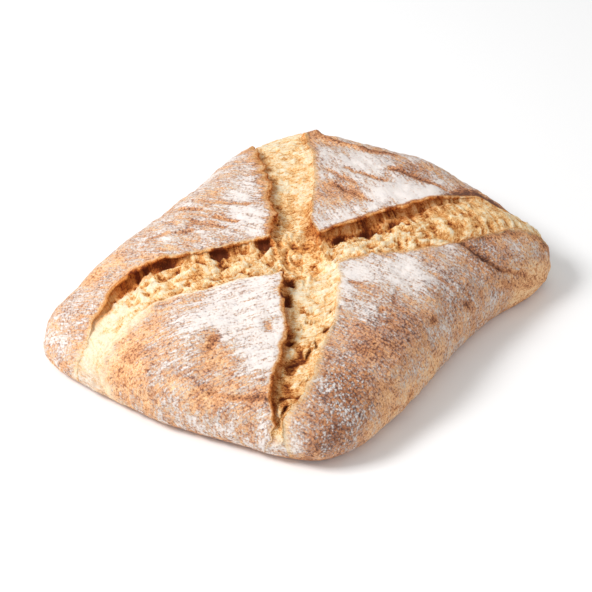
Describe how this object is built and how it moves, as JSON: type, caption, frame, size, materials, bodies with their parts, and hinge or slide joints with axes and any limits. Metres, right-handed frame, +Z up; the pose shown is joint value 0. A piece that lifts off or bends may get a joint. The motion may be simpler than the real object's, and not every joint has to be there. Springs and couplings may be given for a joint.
{
  "type": "cross-cut hearth loaf",
  "caption": "Free-form square hearth loaf, baked in one piece, with a flat base, four rounded corners and a deep cross cut that opens from corner to corner.",
  "frame": {"origin": "middle of the flat base, under the loaf's bounding box", "axes": "+Z up from the base; the four sides lie along X and Y, with the longer pair along Y"},
  "size_m": [0.2148, 0.2582, 0.057],
  "materials": {
    "crust": "matt, flour-dusted baked crust with open golden crumb in the cuts"
  },
  "bodies": {
    "root": {"loaf": "crust"}
  },
  "joints": []
}
